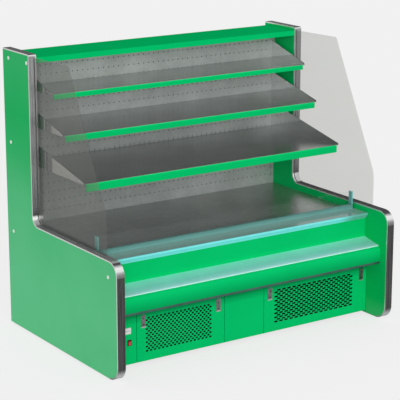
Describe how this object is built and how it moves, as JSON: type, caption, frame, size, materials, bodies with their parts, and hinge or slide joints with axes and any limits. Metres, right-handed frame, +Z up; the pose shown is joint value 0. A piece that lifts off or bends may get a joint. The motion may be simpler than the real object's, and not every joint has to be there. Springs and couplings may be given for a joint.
{
  "type": "refrigerated display case",
  "caption": "Open refrigerated produce case with thick end panels, three stepped shelves over a wide deck, a bumpered front and perforated service doors.",
  "frame": {"origin": "on the floor, under the middle of the case", "axes": "+X along the case to the right as the shopper sees it, -Y towards the shopper, +Z up"},
  "size_m": [1.804, 1.17, 1.566],
  "materials": {
    "green_panel": "smooth green laminate on a foam-filled board",
    "green_paint": "green powder coat",
    "green_plastic": "green extruded strip",
    "edging_steel": "bright metal edging",
    "galvanised_steel": "galvanised sheet",
    "stainless_steel": "satin stainless sheet",
    "hinge_steel": "zinc-plated steel",
    "clear_glass": "clear float glass with polished edges",
    "ledge_glass": "grey-green glass",
    "clear_rail": "clear cyan-tinted rail",
    "pale_plate": "pale cyan-green plate",
    "dark_trim": "dark metal trim",
    "white_plastic": "white moulded plastic",
    "display_window": "pale grey-green display window",
    "grey_key": "grey keys",
    "black_plastic": "black moulded plastic",
    "red_plastic": "red rocker",
    "insulation": "foam core with a pale skin",
    "frame_paint": "dark painted steel",
    "black_paint": "black painted steel",
    "fin_aluminium": "bare aluminium fins",
    "copper": "copper pipe"
  },
  "bodies": {
    "case": {"left_end_panel": "green_panel", "right_end_panel": "green_panel", "top_cap": "green_paint", "fascia_panel": "green_paint", "bumper_shell": "green_paint", "control_panel": "green_paint", "centre_panel": "green_paint", "hinge_brackets": "green_paint", "upper_shelf_strip": "green_plastic", "middle_shelf_strip": "green_plastic", "lower_shelf_strip": "green_plastic", "left_end_edging": "edging_steel", "right_end_edging": "edging_steel", "perforated_back_panel": "galvanised_steel", "slotted_uprights": "galvanised_steel", "rear_cover_sheet": "galvanised_steel", "deck_rear_rail": "galvanised_steel", "display_deck": "stainless_steel", "upper_shelf_deck": "stainless_steel", "middle_shelf_deck": "stainless_steel", "lower_shelf_deck": "stainless_steel", "shelf_brackets": "stainless_steel", "hinge_pins": "hinge_steel", "left_end_glass": "clear_glass", "right_end_glass": "clear_glass", "riser_glass": "clear_glass", "ledge_glass": "ledge_glass", "ledge_front_rail": "clear_rail", "riser_channel": "clear_rail", "bumper_top_plate": "pale_plate", "bumper_trim": "dark_trim", "end_screw_caps": "white_plastic", "thermostat_case": "white_plastic", "thermostat_window": "display_window", "switch_bezel": "black_plastic", "cable_gland": "black_plastic", "drain_outlet": "black_plastic", "insulated_tub": "insulation", "insulated_back_wall": "insulation", "base_frame": "frame_paint", "levelling_feet": "frame_paint", "unit_base_plate": "frame_paint", "fan_shroud": "frame_paint", "evaporator_fan_plate": "frame_paint", "compressor": "black_paint", "condenser_fan_motor": "black_paint", "condenser_coil": "fin_aluminium", "evaporator_coil": "fin_aluminium", "refrigerant_pipes": "copper"},
    "left_door": {"left_service_door": "green_paint", "left_door_straps": "hinge_steel"},
    "right_door": {"right_service_door": "green_paint", "right_door_straps": "hinge_steel"},
    "condenser_rotor": {"condenser_fan": "black_plastic"},
    "left_rotor": {"left_evaporator_fan": "black_plastic"},
    "right_rotor": {"right_evaporator_fan": "black_plastic"},
    "rocker": {"switch_rocker": "red_plastic"},
    "set_key": {"thermostat_set_key": "grey_key"},
    "down_key": {"thermostat_down_key": "grey_key"},
    "up_key": {"thermostat_up_key": "grey_key"}
  },
  "joints": [
    {"name": "left_door_hinge", "type": "hinge", "parent": "case", "child": "left_door", "pos_m": [-0.4075, -0.419, 0.3165], "axis": [-1, 0, 0], "range_deg": [0, 85]},
    {"name": "right_door_hinge", "type": "hinge", "parent": "case", "child": "right_door", "pos_m": [0.4915, -0.419, 0.3165], "axis": [-1, 0, 0], "range_deg": [0, 85]},
    {"name": "condenser_fan_spin", "type": "hinge", "parent": "case", "child": "condenser_rotor", "pos_m": [0.4915, -0.251, 0.172], "axis": [0, 1, 0], "continuous": true},
    {"name": "left_evaporator_fan_spin", "type": "hinge", "parent": "case", "child": "left_rotor", "pos_m": [-0.3, 0.081, 0.47], "axis": [0, 1, 0], "continuous": true},
    {"name": "right_evaporator_fan_spin", "type": "hinge", "parent": "case", "child": "right_rotor", "pos_m": [0.3, 0.081, 0.47], "axis": [0, 1, 0], "continuous": true},
    {"name": "rocker_tilt", "type": "hinge", "parent": "case", "child": "rocker", "pos_m": [-0.7285, -0.408, 0.1435], "axis": [-1, 0, 0], "range_deg": [0, 16]},
    {"name": "set_key_press", "type": "slide", "parent": "case", "child": "set_key", "axis": [0, 1, 0], "range_m": [0, 0.0008], "stiffness_N_per_m": 300, "springref_m": -0.001},
    {"name": "down_key_press", "type": "slide", "parent": "case", "child": "down_key", "axis": [0, 1, 0], "range_m": [0, 0.0008], "stiffness_N_per_m": 300, "springref_m": -0.001},
    {"name": "up_key_press", "type": "slide", "parent": "case", "child": "up_key", "axis": [0, 1, 0], "range_m": [0, 0.0008], "stiffness_N_per_m": 300, "springref_m": -0.001}
  ]
}
